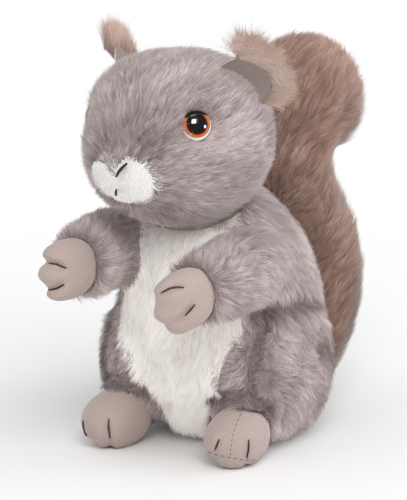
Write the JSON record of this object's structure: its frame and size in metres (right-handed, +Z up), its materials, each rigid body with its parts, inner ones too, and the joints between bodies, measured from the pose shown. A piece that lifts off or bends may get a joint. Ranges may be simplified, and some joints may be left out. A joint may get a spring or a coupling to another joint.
{
  "type": "plush squirrel",
  "caption": "Seated plush squirrel with let-in white muzzle and belly, locked eyes, cupped tufted ears, ribbed jersey hands and feet, and a tail that stands up behind in an S.",
  "frame": {"origin": "middle of the flat seat, on the surface that the plush sits on", "axes": "+Z up, -Y the way that the body faces, +X to the plush's own left"},
  "size_m": [0.0954, 0.181, 0.1769],
  "materials": {
    "grey_pile": "long soft pile, mauve grey",
    "white_pile": "soft pile, warm white",
    "brown_pile": "long pile, pinkish brown",
    "tuft_pile": "extra long pile, beige brown",
    "jersey": "fine rib, matt",
    "lining": "fine rib, matt, taupe",
    "thread": "thick matt thread",
    "eye": "glossy",
    "washer": "matt"
  },
  "bodies": {
    "root": {"body": "grey_pile", "belly_panel": "white_pile", "head": "grey_pile", "muzzle": "white_pile", "nose_stitch": "thread", "mouth_stitch": "thread", "eye_left": "eye", "eye_right": "eye", "eye_washer_left": "washer", "eye_washer_right": "washer", "ear_left": "tuft_pile", "ear_right": "tuft_pile", "ear_lining_left": "lining", "ear_lining_right": "lining", "arm_left": "grey_pile", "arm_right": "grey_pile", "hand_left": "jersey", "hand_right": "jersey", "finger_stitch_left_1": "thread", "finger_stitch_left_2": "thread", "finger_stitch_right_1": "thread", "finger_stitch_right_2": "thread", "leg_left": "grey_pile", "leg_right": "grey_pile", "foot_left": "jersey", "foot_right": "jersey", "toe_stitch_left_1": "thread", "toe_stitch_left_2": "thread", "toe_stitch_right_1": "thread", "toe_stitch_right_2": "thread", "tail": "brown_pile"}
  },
  "joints": []
}
